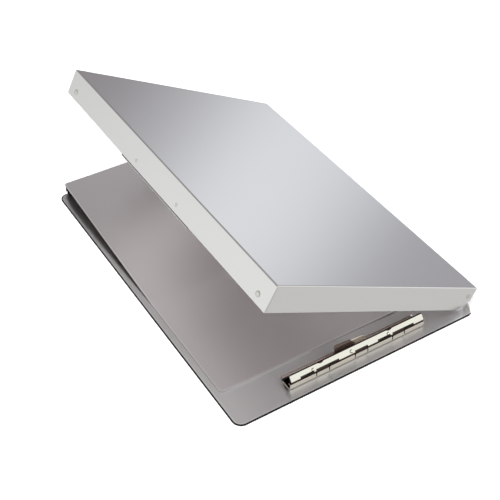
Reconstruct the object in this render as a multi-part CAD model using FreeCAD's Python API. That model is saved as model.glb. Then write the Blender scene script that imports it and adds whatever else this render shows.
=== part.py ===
import FreeCAD, Part
import math
import os
from FreeCAD import Vector

os.makedirs("parts", exist_ok=True)

# All sizes are in millimetres. x runs across the board from its free long edge to the
# spine hinge, y runs from the clip end to the far end, z runs up from the desk.
# Places are measured from the base plate's near, free corner; every solid is moved at
# the end so that the origin is the centre of the base plate's underside.

# Base plate
BASE_WIDTH = 242.5
BASE_LENGTH = 337.0
BASE_SHEET = 1.0
BASE_BEND_RADIUS = 0.8
NEAR_CORNER_RADIUS = 8.5
FAR_CORNER_RADIUS = 8.0
FLANGE_HEIGHT = 7.8
FLANGE_NEAR_INSET = 0.8
FLANGE_END_RADIUS = 2.0
RISER_FREE_INSET = 9.4
CORNER_RELIEF = 5.0

# Lid
LID_OPEN_ANGLE = 26.9
LID_LENGTH = 337.0
LID_HEIGHT = 24.2
LID_SHEET = 0.8
LID_BEND_RADIUS = 0.7
LID_FREE_INSET = 2.6
LID_NEAR_INSET = 6.2
LID_RIM_GAP = 0.3
LID_TAB_LENGTH = 19.0
LID_TAB_EDGE_GAP = 1.6
LID_SLIT = 0.2
LID_NOTCH_DEPTH = 2.1
LID_NOTCH_ABOVE_AXIS = 1.0
LID_RIM_CORNER_RADIUS = 4.0

# Spine hinge, between the lid and the base plate's flange
SPINE_AXIS_HEIGHT = 9.7
SPINE_PIN_RADIUS = 0.75
SPINE_LEAF_SHEET = 0.8
SPINE_KNUCKLE = 25.0
SPINE_KNUCKLES = 13
SPINE_START_GAP = 1.2
SPINE_LID_LEAF_HEIGHT = 13.0
SPINE_WALL_GAP = 1.5

# Writing plate and the hinge along its far edge
PLATE_SHEET = 1.0
PLATE_FREE_INSET = 6.9
PLATE_SPINE_INSET = 4.0
PLATE_NEAR_EDGE = 36.8
PLATE_CORNER_RADIUS = 5.0
PLATE_REST_GAP = 0.2
PLATE_BEND_Y = 156.0
PLATE_BEND_RADIUS = 120.0
PLATE_AXIS_HEIGHT = 12.6
PLATE_PIN_RADIUS = 0.75
PLATE_LEAF_SHEET = 0.7
PLATE_KNUCKLE = 8.3
PLATE_KNUCKLES = 27
PLATE_LEAF_INSET = 1.6
PLATE_LEAF_DEPTH = 12.0
RISER_LEAF_HEIGHT = 9.0

# Shared by both piano hinges
PIN_CLEARANCE = 0.05
KNUCKLE_GAP = 0.3

# Small rolls, rivets and their holes are many-sided
ROLL_SIDES = 12
HOLE_SIDES = 8

# Rivets
RIVET_SHANK_RADIUS = 1.5
RIVET_HOLE_CLEARANCE = 0.1
RIVET_HEAD_RADIUS = 2.5
RIVET_HEAD_HEIGHT = 0.9
RIVET_TAIL_RADIUS = 2.1
RIVET_TAIL_HEIGHT = 0.7
RIVET_RIM_SHARE = 0.35
RIVET_CROWN_SHARE = 0.6
CORNER_RIVET_INSET = 13.4
CORNER_RIVET_HEIGHT = 7.2
END_RIVET_INSET = 5.6
END_RIVET_HEIGHT = 14.8
SPINE_RIVETS = 5
SPINE_RIVET_END_INSET = 14.0
LID_LEAF_RIVET_RISE = 9.2
FLANGE_RIVET_DROP = 4.9

# Latch strip inside the lid's free wall
LATCH_LENGTH = 116.0
LATCH_SHEET = 0.8
LATCH_TOP = 13.0
LATCH_DROP = 2.3
LATCH_HEM_HEIGHT = 4.5
LATCH_END_RADIUS = 2.5
LATCH_RIVET_SPACING = 69.2
LATCH_RIVET_HEIGHT = 6.0
LATCH_RIVET_HEAD_HEIGHT = 0.25
LATCH_RIVET_HEAD_RADIUS = 1.9

# Clip: bracket, pin and jaw
CLIP_LENGTH = 138.8
CLIP_CENTRE_OFFSET = 4.9
CLIP_FRONT = 10.5
CLIP_SHEET = 0.8
CLIP_BEND_RADIUS = 0.3
CLIP_PIN_RADIUS = 0.7
CLIP_AXIS_HEIGHT = 8.05
CLIP_END_GAP = 0.3
BRACKET_DEPTH = 11.0
BRACKET_RETURN = 2.8
BRACKET_BEND_RADIUS = 0.95
BRACKET_KNUCKLE = 12.0
BRACKET_KNUCKLE_SPACING = 39.4
BRACKET_KNUCKLE_OFFSET = 2.4
BRACKET_SLIT = 1.0
BRACKET_SLIT_FOOT = 2.0
JAW_END_INSET = 0.9
JAW_FRONT_ANGLE = 47.6
JAW_FRONT_LENGTH = 6.2
JAW_DEPTH = 11.9
JAW_FOOT_HEIGHT = 0.9
JAW_LIP_DEPTH = 1.2
JAW_LIP_RISE = 1.4
JAW_FINGER = 2.0
JAW_WINDOW_LEFT = 16.5
JAW_WINDOW_RIGHT = 10.0
JAW_NOTCH_SPACING = 70.8
JAW_NOTCH_OFFSET = -2.4
JAW_NOTCH_RADIUS = 7.0
JAW_NOTCH_DEPTH = 1.6
CLIP_PIN_INSET = 1.0
CLIP_RIVET_SPACING = 92.0
CLIP_RIVET_BACK = 4.3
CLIP_RIVET_HEAD_HEIGHT = 0.6

# Thumb tab on the back of the jaw
TAB_WIDTH = 31.0
TAB_CENTRE_OFFSET = -5.0
TAB_SHEET = 0.8
TAB_FOOT = 4.0
TAB_FROM_RIDGE = 4.2
TAB_RISE = 6.5
TAB_LOW_RISE = 4.4
TAB_LEAN = 22.0
TAB_CORNER_RADIUS = 1.6

# Clip springs, one double torsion spring for each outer knuckle
SPRING_WIRE = 0.65
SPRING_TURNS = 4
SPRING_PITCH = 1.5
SPRING_PIN_GAP = 0.15
SPRING_SIDE_GAP = 0.6

# One overrun serves all cuts, and points nearer than this are one point
OVERRUN = 2.0
SAME_POINT = 0.001

# Places that several pieces share
base_top = BASE_SHEET
spine_barrel = SPINE_PIN_RADIUS + PIN_CLEARANCE + SPINE_LEAF_SHEET
plate_barrel = PLATE_PIN_RADIUS + PIN_CLEARANCE + PLATE_LEAF_SHEET
clip_bore = CLIP_PIN_RADIUS + PIN_CLEARANCE
clip_barrel = clip_bore + CLIP_SHEET
flange_inner_x = BASE_WIDTH - BASE_SHEET
spine_x = flange_inner_x + spine_barrel - SPINE_LEAF_SHEET
lid_spine_x = flange_inner_x + LID_SHEET
lid_near_y = LID_NEAR_INSET
lid_far_y = LID_NEAR_INSET + LID_LENGTH
lid_rim = base_top + LID_RIM_GAP
lid_top = lid_rim + LID_HEIGHT
spine_start_y = lid_near_y + LID_SHEET + SPINE_START_GAP
spine_length = SPINE_KNUCKLE * SPINE_KNUCKLES
plate_hinge_y = BASE_LENGTH + PLATE_LEAF_SHEET - plate_barrel
plate_hinge_x = PLATE_FREE_INSET + PLATE_LEAF_INSET
plate_hinge_length = PLATE_KNUCKLE * PLATE_KNUCKLES
plate_under = base_top + PLATE_REST_GAP
riser_height = PLATE_AXIS_HEIGHT - plate_barrel - KNUCKLE_GAP
clip_centre_x = BASE_WIDTH / 2 + CLIP_CENTRE_OFFSET
clip_start_x = clip_centre_x - CLIP_LENGTH / 2
clip_y = CLIP_FRONT + clip_barrel
clip_z = base_top + CLIP_AXIS_HEIGHT
jaw_x = (clip_start_x + JAW_END_INSET, clip_start_x + CLIP_LENGTH - JAW_END_INSET)


def in_xy(a, b):
    return Vector(a, b, 0)


def in_yz(a, b):
    return Vector(0, a, b)


def in_xz(a, b):
    return Vector(a, 0, b)


def box(x0, x1, y0, y1, z0, z1):
    return Part.makeBox(x1 - x0, y1 - y0, z1 - z0, Vector(x0, y0, z0))


def rounded_face(points, radii, plane):
    """A flat face with straight sides, each corner rounded by its own radius."""
    corners = [plane(a, b) for a, b in points]
    starts, ends, arcs = [], [], []
    for i, corner in enumerate(corners):
        back = (corners[i - 1] - corner).normalize()
        ahead = (corners[(i + 1) % len(corners)] - corner).normalize()
        half = back.getAngle(ahead) / 2
        if radii[i] == 0:
            starts.append(corner)
            ends.append(corner)
            arcs.append(None)
            continue
        reach = radii[i] / math.tan(half)
        middle = (back + ahead).normalize() * (radii[i] / math.sin(half) - radii[i])
        starts.append(corner + back * reach)
        ends.append(corner + ahead * reach)
        arcs.append(Part.Arc(starts[i], corner + middle, ends[i]).toShape())
    edges = []
    for i, arc in enumerate(arcs):
        if arc:
            edges.append(arc)
        following = starts[(i + 1) % len(corners)]
        if not ends[i].isEqual(following, SAME_POINT):
            edges.append(Part.LineSegment(ends[i], following).toShape())
    return Part.Face(Part.Wire(edges))


def many_sided(radius, sides, plane):
    """A flat face with many equal sides, each at the given radius from its middle."""
    reach = radius / math.cos(math.pi / sides)
    turns = [(i + 0.5) * 2 * math.pi / sides for i in range(sides)]
    points = [(reach * math.cos(turn), reach * math.sin(turn)) for turn in turns]
    return rounded_face(points, [0] * sides, plane)


def bent_sheet(path, sheet, bend_radius, plane):
    """The section of a folded sheet: its outer face follows path, its metal is on the right."""
    count = len(path)
    inner, radii_out, radii_in = [], [0] * count, [0] * count
    directions = []
    for (a0, b0), (a1, b1) in zip(path, path[1:]):
        run = math.hypot(a1 - a0, b1 - b0)
        directions.append(((a1 - a0) / run, (b1 - b0) / run))
    for i, (a, b) in enumerate(path):
        before = directions[max(i - 1, 0)]
        after = directions[min(i, count - 2)]
        normal = (before[1] + after[1], -before[0] - after[0])
        scale = sheet * 2 / (normal[0] ** 2 + normal[1] ** 2)
        inner.append((a + normal[0] * scale, b + normal[1] * scale))
        turn = before[0] * after[1] - before[1] * after[0]
        if 0 < i < count - 1:
            radii_out[i] = bend_radius if turn > 0 else bend_radius + sheet
            radii_in[i] = bend_radius + sheet if turn > 0 else bend_radius
    return rounded_face(path + inner[::-1], radii_out + radii_in[::-1], plane)


def along_x(face, x0, x1):
    face.translate(Vector(x0, 0, 0))
    return face.extrude(Vector(x1 - x0, 0, 0))


def along_y(face, y0, y1):
    face.translate(Vector(0, y0, 0))
    return face.extrude(Vector(0, y1 - y0, 0))


def along_z(face, z0, z1):
    face.translate(Vector(0, 0, z0))
    return face.extrude(Vector(0, 0, z1 - z0))


def turned(shape, centre, axis, angle):
    result = shape.copy()
    result.rotate(centre, axis, angle)
    return result


def clean(shape):
    """One plain solid, or the group of solids that a row of rivets is."""
    shape = shape.removeSplitter()
    if len(shape.Solids) == 1:
        return shape.Solids[0]
    return shape


def open_lid(shape):
    """Swing a piece drawn on the closed lid to where the lid stands."""
    centre = Vector(spine_x, 0, SPINE_AXIS_HEIGHT)
    return turned(shape, centre, Vector(0, 1, 0), LID_OPEN_ANGLE)


def rivet(place, outward, grip, head_radius, head_height, shank_radius, tail_height):
    """A rivet whose head sits at place; outward is the way its head faces."""
    rim = head_height * RIVET_RIM_SHARE
    head = along_z(many_sided(head_radius, ROLL_SIDES, in_xy), 0, rim)
    low = many_sided(head_radius, ROLL_SIDES, in_xy).OuterWire
    low.translate(Vector(0, 0, rim))
    high = many_sided(head_radius * RIVET_CROWN_SHARE, ROLL_SIDES, in_xy).OuterWire
    high.translate(Vector(0, 0, head_height))
    crown = Part.makeLoft([low, high], True, True)
    shank = along_z(many_sided(shank_radius, ROLL_SIDES, in_xy), -grip, 0)
    pieces = [crown, shank]
    if tail_height > 0:
        tail = many_sided(RIVET_TAIL_RADIUS, ROLL_SIDES, in_xy)
        pieces.append(along_z(tail, -grip - tail_height, -grip))
    solid = clean(head.multiFuse(pieces))
    solid.Placement = FreeCAD.Placement(place, FreeCAD.Rotation(Vector(0, 0, 1), outward))
    return solid


def rivet_hole(place, outward, grip):
    radius = RIVET_SHANK_RADIUS + RIVET_HOLE_CLEARANCE
    hole = along_z(many_sided(radius, HOLE_SIDES, in_xy), -grip - OVERRUN, OVERRUN)
    hole.Placement = FreeCAD.Placement(place, FreeCAD.Rotation(Vector(0, 0, 1), outward))
    return hole


def hinge_leaf(count, pitch, barrel, sheet, pin_radius, height, side, parity):
    """One leaf of a piano hinge on the local x axis, standing up (side 1) or down (-1)."""
    bore = pin_radius + PIN_CLEARANCE
    clear = barrel + KNUCKLE_GAP
    low, high = sorted((side * clear, side * height))
    pieces = [box(0, count * pitch, barrel - sheet, barrel, low, high)]
    half_gap = KNUCKLE_GAP / 2
    low, high = sorted((0, side * clear))
    for i in range(parity, count, 2):
        start = i * pitch + half_gap
        end = (i + 1) * pitch - half_gap
        roll = along_x(many_sided(barrel, ROLL_SIDES, in_yz), start, end)
        pieces.append(roll.fuse(box(start, end, barrel - sheet, barrel, low, high)))
    leaf = pieces[0].multiFuse(pieces[1:])
    pin_way = along_x(many_sided(bore, HOLE_SIDES, in_yz), -OVERRUN, count * pitch + OVERRUN)
    return clean(leaf.cut(pin_way))


def on_spine(shape):
    """Carry a hinge piece from the local x axis to the spine's axis."""
    result = turned(shape, Vector(0, 0, 0), Vector(0, 0, 1), 90)
    result.translate(Vector(spine_x, spine_start_y, SPINE_AXIS_HEIGHT))
    return result


def on_far_edge(shape, tilt):
    """Carry a hinge piece from the local x axis to the writing plate's hinge axis."""
    result = turned(shape, Vector(0, 0, 0), Vector(1, 0, 0), tilt)
    result.translate(Vector(plate_hinge_x, plate_hinge_y, PLATE_AXIS_HEIGHT))
    return result


def spine_rivet_places(height):
    first = spine_start_y + SPINE_RIVET_END_INSET
    step = (spine_length - 2 * SPINE_RIVET_END_INSET) / (SPINE_RIVETS - 1)
    return [(first + i * step, height) for i in range(SPINE_RIVETS)]


def lid_leaf_rivets():
    places = spine_rivet_places(SPINE_AXIS_HEIGHT + LID_LEAF_RIVET_RISE)
    return [Vector(lid_spine_x, y, z) for y, z in places]


def flange_rivets():
    places = spine_rivet_places(SPINE_AXIS_HEIGHT - FLANGE_RIVET_DROP)
    return [Vector(BASE_WIDTH, y, z) for y, z in places]


def corner_rivets():
    """Each lid corner rivet: its place on the outer face, and the way that face looks."""
    free_x = LID_FREE_INSET
    near_y = lid_near_y + CORNER_RIVET_INSET
    far_y = lid_far_y - CORNER_RIVET_INSET
    end_x = lid_spine_x - END_RIVET_INSET
    low = lid_rim + CORNER_RIVET_HEIGHT
    high = lid_rim + END_RIVET_HEIGHT
    return [
        (Vector(free_x, near_y, low), Vector(-1, 0, 0)),
        (Vector(free_x, far_y, low), Vector(-1, 0, 0)),
        (Vector(end_x, lid_near_y, high), Vector(0, -1, 0)),
        (Vector(end_x, lid_far_y, high), Vector(0, 1, 0)),
    ]


def latch_rivets():
    middle = (lid_near_y + lid_far_y) / 2
    height = lid_rim + LATCH_RIVET_HEIGHT
    half = LATCH_RIVET_SPACING / 2
    return [Vector(LID_FREE_INSET, middle + side * half, height) for side in (-1, 1)]


def clip_rivets():
    half = CLIP_RIVET_SPACING / 2
    y = CLIP_FRONT + CLIP_RIVET_BACK
    return [Vector(clip_centre_x + side * half, y, base_top + CLIP_SHEET) for side in (-1, 1)]


def base_plate():
    """The folded base sheet: floor, spine flange and the riser at the far end."""
    flange_top = FLANGE_HEIGHT
    floor = rounded_face(
        [(0, 0), (flange_inner_x, 0), (flange_inner_x, BASE_LENGTH - CORNER_RELIEF),
         (BASE_WIDTH - CORNER_RELIEF, BASE_LENGTH - CORNER_RELIEF),
         (BASE_WIDTH - CORNER_RELIEF, BASE_LENGTH), (0, BASE_LENGTH)],
        [NEAR_CORNER_RADIUS, 0, 0, 0, 0, FAR_CORNER_RADIUS], in_xy)
    floor = along_z(floor, 0, BASE_SHEET)
    bend = BASE_BEND_RADIUS + BASE_SHEET
    flange = bent_sheet(
        [(flange_inner_x - bend, 0), (BASE_WIDTH, 0), (BASE_WIDTH, flange_top)][::-1],
        BASE_SHEET, BASE_BEND_RADIUS, in_xz)
    flange = along_y(flange, 0, BASE_LENGTH - CORNER_RELIEF)
    end = rounded_face(
        [(FLANGE_NEAR_INSET, -OVERRUN), (FLANGE_NEAR_INSET, flange_top),
         (BASE_LENGTH, flange_top), (BASE_LENGTH, -OVERRUN)],
        [0, FLANGE_END_RADIUS, 0, 0], in_yz)
    keep = along_x(end, flange_inner_x - bend, BASE_WIDTH + OVERRUN)
    flange = flange.common(keep)
    riser = bent_sheet(
        [(BASE_LENGTH - bend, 0), (BASE_LENGTH, 0), (BASE_LENGTH, riser_height)][::-1],
        BASE_SHEET, BASE_BEND_RADIUS, in_yz)
    riser = along_x(riser, RISER_FREE_INSET, BASE_WIDTH - CORNER_RELIEF)
    square_edge = box(RISER_FREE_INSET, BASE_WIDTH, BASE_LENGTH - bend, BASE_LENGTH + OVERRUN,
                      -OVERRUN, base_top)
    sharp_side = box(flange_inner_x - bend, BASE_WIDTH, -OVERRUN, BASE_LENGTH, -OVERRUN, base_top)
    plate = floor.cut(square_edge).cut(sharp_side).multiFuse([flange, riser])
    for place in flange_rivets():
        plate = plate.cut(rivet_hole(place, Vector(1, 0, 0), BASE_SHEET))
    for place in clip_rivets():
        plate = plate.cut(rivet_hole(place, Vector(0, 0, 1), CLIP_SHEET + BASE_SHEET))
    return clean(plate)


def lid_pan():
    """The folded lid sheet: top, four walls, and corner tabs riveted behind the walls."""
    x0, x1 = LID_FREE_INSET, lid_spine_x
    y0, y1 = lid_near_y, lid_far_y
    sheet = LID_SHEET
    wall_foot = SPINE_AXIS_HEIGHT + spine_barrel + SPINE_WALL_GAP
    outer = box(x0, x1, y0, y1, lid_rim, lid_top)
    inner = box(x0 + sheet, x1 - sheet, y0 + sheet, y1 - sheet, lid_rim - OVERRUN, lid_top - sheet)
    outer = outer.makeFillet(LID_BEND_RADIUS + sheet, top_edges(outer, lid_top))
    inner = inner.makeFillet(LID_BEND_RADIUS, top_edges(inner, lid_top - sheet))
    pan = outer.cut(inner)
    bend_foot = lid_top - sheet - LID_BEND_RADIUS
    low = lid_rim - OVERRUN
    cuts = [box(x1 - sheet, x1 + OVERRUN, y0 + sheet, y1 - sheet, low, wall_foot)]
    for near, far in ((y0, y0 + sheet), (y1 - sheet, y1)):
        cuts.append(box(x0 + sheet, x0 + sheet + LID_SLIT, near, far, low, bend_foot))
    for near in (y0 + sheet, y1 - sheet - LID_SLIT):
        cuts.append(box(x1 - sheet, x1, near, near + LID_SLIT, low, bend_foot))
    notch = rounded_face(
        [(x1 - LID_NOTCH_DEPTH, low), (x1 + OVERRUN, low),
         (x1 + OVERRUN, SPINE_AXIS_HEIGHT + LID_NOTCH_ABOVE_AXIS),
         (x1 - LID_NOTCH_DEPTH, SPINE_AXIS_HEIGHT + LID_NOTCH_ABOVE_AXIS)],
        [0, 0, 0, LID_NOTCH_DEPTH / 2], in_xz)
    cuts.append(along_y(notch, y0 - OVERRUN, y1 + OVERRUN))
    round_x = x1 - LID_NOTCH_DEPTH - LID_RIM_CORNER_RADIUS
    round_z = lid_rim + LID_RIM_CORNER_RADIUS
    corner = box(round_x, x1, y0 - OVERRUN, y1 + OVERRUN, low, round_z)
    rounding = Part.makeCylinder(LID_RIM_CORNER_RADIUS, y1 - y0 + 4 * OVERRUN,
                                 Vector(round_x, y0 - 2 * OVERRUN, round_z), Vector(0, 1, 0))
    cuts.append(corner.cut(rounding))
    pan = pan.cut(Part.makeCompound(cuts))
    tab_low = lid_rim + LID_TAB_EDGE_GAP
    tab_high = bend_foot - LID_TAB_EDGE_GAP
    free_tab = x0 + sheet + LID_SLIT
    tabs = [
        box(free_tab, free_tab + sheet, y0, y0 + LID_TAB_LENGTH, tab_low, tab_high),
        box(free_tab, free_tab + sheet, y1 - LID_TAB_LENGTH, y1, tab_low, tab_high),
    ]
    wall_tab_low = wall_foot + LID_TAB_EDGE_GAP
    near_tab = y0 + sheet + LID_SLIT
    far_tab = y1 - sheet - LID_SLIT
    tabs.append(box(x1 - LID_TAB_LENGTH, x1, near_tab, near_tab + sheet, wall_tab_low, tab_high))
    tabs.append(box(x1 - LID_TAB_LENGTH, x1, far_tab - sheet, far_tab, wall_tab_low, tab_high))
    pan = pan.multiFuse(tabs)
    for place, outward in corner_rivets():
        pan = pan.cut(rivet_hole(place, outward, 2 * sheet + LID_SLIT))
    for place in latch_rivets():
        pan = pan.cut(rivet_hole(place, Vector(-1, 0, 0), sheet))
    for place in lid_leaf_rivets():
        pan = pan.cut(rivet_hole(place, Vector(1, 0, 0), sheet))
    return clean(pan)


def top_edges(solid, height):
    """The edges that lie level at the given height."""
    found = []
    for edge in solid.Edges:
        heights = [vertex.Z for vertex in edge.Vertexes]
        if max(abs(z - height) for z in heights) < SAME_POINT:
            found.append(edge)
    return found


def lid_corner_rivets():
    grip = 2 * LID_SHEET + LID_SLIT
    return Part.makeCompound([
        rivet(place, outward, grip, RIVET_HEAD_RADIUS, RIVET_HEAD_HEIGHT, RIVET_SHANK_RADIUS,
              RIVET_TAIL_HEIGHT)
        for place, outward in corner_rivets()])


def latch_strip():
    """A stiff strip hemmed at its lower edge, which presses on the base plate when shut."""
    x0 = LID_FREE_INSET + LID_SHEET
    bottom = lid_rim - LATCH_DROP
    middle = (lid_near_y + lid_far_y) / 2
    y0, y1 = middle - LATCH_LENGTH / 2, middle + LATCH_LENGTH / 2
    round_z = bottom + LATCH_SHEET
    web = box(x0, x0 + LATCH_SHEET, y0, y1, round_z, lid_rim + LATCH_TOP)
    hem = box(x0 + LATCH_SHEET, x0 + 2 * LATCH_SHEET, y0, y1, round_z, bottom + LATCH_HEM_HEIGHT)
    roll = Part.makeCylinder(LATCH_SHEET, y1 - y0, Vector(x0 + LATCH_SHEET, y0, round_z),
                             Vector(0, 1, 0))
    strip = web.multiFuse([hem, roll])
    outline = rounded_face(
        [(y0, bottom), (y1, bottom), (y1, lid_rim + LATCH_TOP), (y0, lid_rim + LATCH_TOP)],
        [LATCH_END_RADIUS] * 4, in_yz)
    strip = strip.common(along_x(outline, x0, x0 + 2 * LATCH_SHEET))
    for place in latch_rivets():
        strip = strip.cut(rivet_hole(place, Vector(-1, 0, 0), LID_SHEET + LATCH_SHEET))
    return clean(strip)


def latch_rivet_pair():
    grip = LID_SHEET + LATCH_SHEET
    return Part.makeCompound([
        rivet(place, Vector(-1, 0, 0), grip, LATCH_RIVET_HEAD_RADIUS, LATCH_RIVET_HEAD_HEIGHT,
              RIVET_SHANK_RADIUS, RIVET_TAIL_HEIGHT)
        for place in latch_rivets()])


def spine_leaf(side, parity, height):
    leaf = hinge_leaf(SPINE_KNUCKLES, SPINE_KNUCKLE, spine_barrel, SPINE_LEAF_SHEET,
                      SPINE_PIN_RADIUS, height, side, parity)
    return on_spine(leaf)


def spine_hinge_lid_leaf():
    leaf = spine_leaf(1, 1, SPINE_LID_LEAF_HEIGHT)
    for place in lid_leaf_rivets():
        leaf = leaf.cut(rivet_hole(place, Vector(1, 0, 0), LID_SHEET + SPINE_LEAF_SHEET))
    return clean(leaf)


def spine_hinge_base_leaf():
    leaf = spine_leaf(-1, 0, SPINE_AXIS_HEIGHT - base_top - BASE_BEND_RADIUS)
    for place in flange_rivets():
        leaf = leaf.cut(rivet_hole(place, Vector(1, 0, 0), BASE_SHEET + SPINE_LEAF_SHEET))
    return clean(leaf)


def spine_hinge_pin():
    pin = Part.makeCylinder(SPINE_PIN_RADIUS, spine_length, Vector(0, 0, 0), Vector(1, 0, 0))
    return on_spine(pin)


def spine_lid_rivets():
    grip = LID_SHEET + SPINE_LEAF_SHEET
    return Part.makeCompound([
        rivet(place, Vector(1, 0, 0), grip, RIVET_HEAD_RADIUS, RIVET_HEAD_HEIGHT,
              RIVET_SHANK_RADIUS, RIVET_TAIL_HEIGHT)
        for place in lid_leaf_rivets()])


def spine_base_rivets():
    grip = BASE_SHEET + SPINE_LEAF_SHEET
    return Part.makeCompound([
        rivet(place, Vector(1, 0, 0), grip, RIVET_HEAD_RADIUS, RIVET_HEAD_HEIGHT,
              RIVET_SHANK_RADIUS, RIVET_TAIL_HEIGHT)
        for place in flange_rivets()])


def plate_slope():
    """The angle of the writing plate's far part, which is tangent to the hinge barrel."""
    run = plate_hinge_y - PLATE_BEND_Y
    rise = PLATE_AXIS_HEIGHT - plate_under
    return math.degrees(math.atan2(rise, run) + math.asin(plate_barrel / math.hypot(run, rise)))


def writing_plate():
    """The form rest: flat on the base plate, then sloping up to the far hinge."""
    slope = math.radians(plate_slope())
    reach = plate_hinge_y - plate_barrel - PLATE_BEND_Y
    far_y = PLATE_BEND_Y + reach
    far_z = plate_under + reach * math.tan(slope)
    run = [(far_y, far_z), (PLATE_BEND_Y, plate_under), (PLATE_NEAR_EDGE, plate_under)]
    section = bent_sheet(run, PLATE_SHEET, PLATE_BEND_RADIUS, in_yz)
    x0, x1 = PLATE_FREE_INSET, BASE_WIDTH - PLATE_SPINE_INSET
    sheet = along_x(section, x0, x1)
    outline = rounded_face(
        [(x0, PLATE_NEAR_EDGE), (x1, PLATE_NEAR_EDGE), (x1, BASE_LENGTH), (x0, BASE_LENGTH)],
        [PLATE_CORNER_RADIUS, PLATE_CORNER_RADIUS, 0, 0], in_xy)
    return clean(sheet.common(along_z(outline, 0, PLATE_AXIS_HEIGHT + 2 * plate_barrel)))


def plate_hinge_moving_leaf():
    leaf = hinge_leaf(PLATE_KNUCKLES, PLATE_KNUCKLE, plate_barrel, PLATE_LEAF_SHEET,
                      PLATE_PIN_RADIUS, PLATE_LEAF_DEPTH, 1, 1)
    return on_far_edge(leaf, 90 + plate_slope())


def plate_hinge_fixed_leaf():
    leaf = hinge_leaf(PLATE_KNUCKLES, PLATE_KNUCKLE, plate_barrel, PLATE_LEAF_SHEET,
                      PLATE_PIN_RADIUS, RISER_LEAF_HEIGHT, -1, 0)
    return on_far_edge(leaf, 0)


def plate_hinge_pin():
    pin = Part.makeCylinder(PLATE_PIN_RADIUS, plate_hinge_length, Vector(0, 0, 0), Vector(1, 0, 0))
    return on_far_edge(pin, 0)


def knuckle_spans():
    """Where the bracket's three knuckles hold the pin."""
    half = BRACKET_KNUCKLE / 2
    middle = clip_centre_x + BRACKET_KNUCKLE_OFFSET
    centres = [middle + i * BRACKET_KNUCKLE_SPACING for i in (-1, 0, 1)]
    return [(x - half, x + half) for x in centres]


def jaw_windows():
    """Where the jaw is cut open round the knuckles and the springs beside the outer two."""
    first, middle, last = knuckle_spans()
    windows = [(middle[0] - BRACKET_SLIT, middle[1] + CLIP_END_GAP)]
    for start, end in (first, last):
        windows.append((start - BRACKET_SLIT, end + JAW_WINDOW_RIGHT))
        windows.append((start - JAW_WINDOW_LEFT, start - BRACKET_SLIT - JAW_FINGER))
    return windows


def pin_cylinder(radius, x0, x1, drop=0):
    place = Vector(x0, clip_y, clip_z - drop)
    return Part.makeCylinder(radius, x1 - x0, place, Vector(1, 0, 0))


def bracket_knuckle(start, end, foot):
    """A tongue of the front wall, bent back under the pin and rolled up over it."""
    bend_z = clip_z - clip_barrel - clip_bore
    tongue = box(start, end, CLIP_FRONT, CLIP_FRONT + CLIP_SHEET, foot, bend_z)
    drop = clip_barrel + clip_bore
    bend = pin_cylinder(clip_barrel, start, end, drop)
    bend = bend.common(box(start, end, CLIP_FRONT, clip_y, bend_z, clip_z))
    bend = bend.cut(pin_cylinder(clip_bore, start, end, drop))
    reach = 2 * clip_barrel
    front = rounded_face(
        [(clip_y, clip_z), (clip_y - clip_barrel, clip_z + reach),
         (clip_y - reach, clip_z - reach), (clip_y, clip_z - reach)], [0] * 4, in_yz)
    roll = pin_cylinder(clip_barrel, start, end).cut(along_x(front, start, end))
    roll = roll.cut(pin_cylinder(clip_bore, start, end))
    return tongue.multiFuse([bend, roll])


def clip_bracket():
    """The clip's fixed part: a riveted foot, a front wall bent over at its top, and knuckles."""
    wall_top = clip_z - clip_barrel - CLIP_END_GAP
    foot = base_top + BRACKET_SLIT_FOOT
    fold = [(CLIP_FRONT + BRACKET_DEPTH, base_top), (CLIP_FRONT, base_top),
            (CLIP_FRONT, wall_top), (CLIP_FRONT + BRACKET_RETURN, wall_top)]
    section = bent_sheet(fold, CLIP_SHEET, BRACKET_BEND_RADIUS, in_yz)
    bracket = along_x(section, clip_start_x, clip_start_x + CLIP_LENGTH)
    gaps = [box(start - BRACKET_SLIT, end + BRACKET_SLIT, CLIP_FRONT - OVERRUN,
                CLIP_FRONT + BRACKET_RETURN + OVERRUN, foot, clip_z)
            for start, end in knuckle_spans()]
    bracket = bracket.cut(Part.makeCompound(gaps))
    bracket = bracket.multiFuse([bracket_knuckle(a, b, foot) for a, b in knuckle_spans()])
    for place in clip_rivets():
        bracket = bracket.cut(rivet_hole(place, Vector(0, 0, 1), CLIP_SHEET))
    return clean(bracket)


def jaw_points():
    """The jaw's outer face in section: hinge tangent, ridge, foot and lip."""
    angle = math.radians(JAW_FRONT_ANGLE)
    hinge = (clip_y - clip_barrel * math.sin(angle), clip_z + clip_barrel * math.cos(angle))
    ridge = (hinge[0] + JAW_FRONT_LENGTH * math.cos(angle),
             hinge[1] + JAW_FRONT_LENGTH * math.sin(angle))
    foot = (clip_y + JAW_DEPTH, base_top + JAW_FOOT_HEIGHT)
    lip = (foot[0] + JAW_LIP_DEPTH, foot[1] + JAW_LIP_RISE)
    return hinge, ridge, foot, lip


def clip_jaw():
    """The sprung jaw: a folded ridge with a turned-up lip, rolled round the pin."""
    corners = list(jaw_points())
    section = bent_sheet(corners, CLIP_SHEET, CLIP_BEND_RADIUS, in_yz)
    jaw = along_x(section, *jaw_x)
    jaw = jaw.fuse(pin_cylinder(clip_barrel, *jaw_x))
    cuts = [pin_cylinder(clip_bore, jaw_x[0] - OVERRUN, jaw_x[1] + OVERRUN)]
    for start, end in jaw_windows():
        cuts.append(pin_cylinder(clip_barrel + CLIP_END_GAP, start, end))
    ridge = corners[1]
    for side in (-1, 1):
        x = clip_centre_x + JAW_NOTCH_OFFSET + side * JAW_NOTCH_SPACING / 2
        place = Vector(x, clip_y, ridge[1] + JAW_NOTCH_RADIUS - JAW_NOTCH_DEPTH)
        cuts.append(Part.makeCylinder(JAW_NOTCH_RADIUS, JAW_DEPTH, place, Vector(0, 1, 0)))
    return clean(jaw.cut(Part.makeCompound(cuts)))


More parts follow.
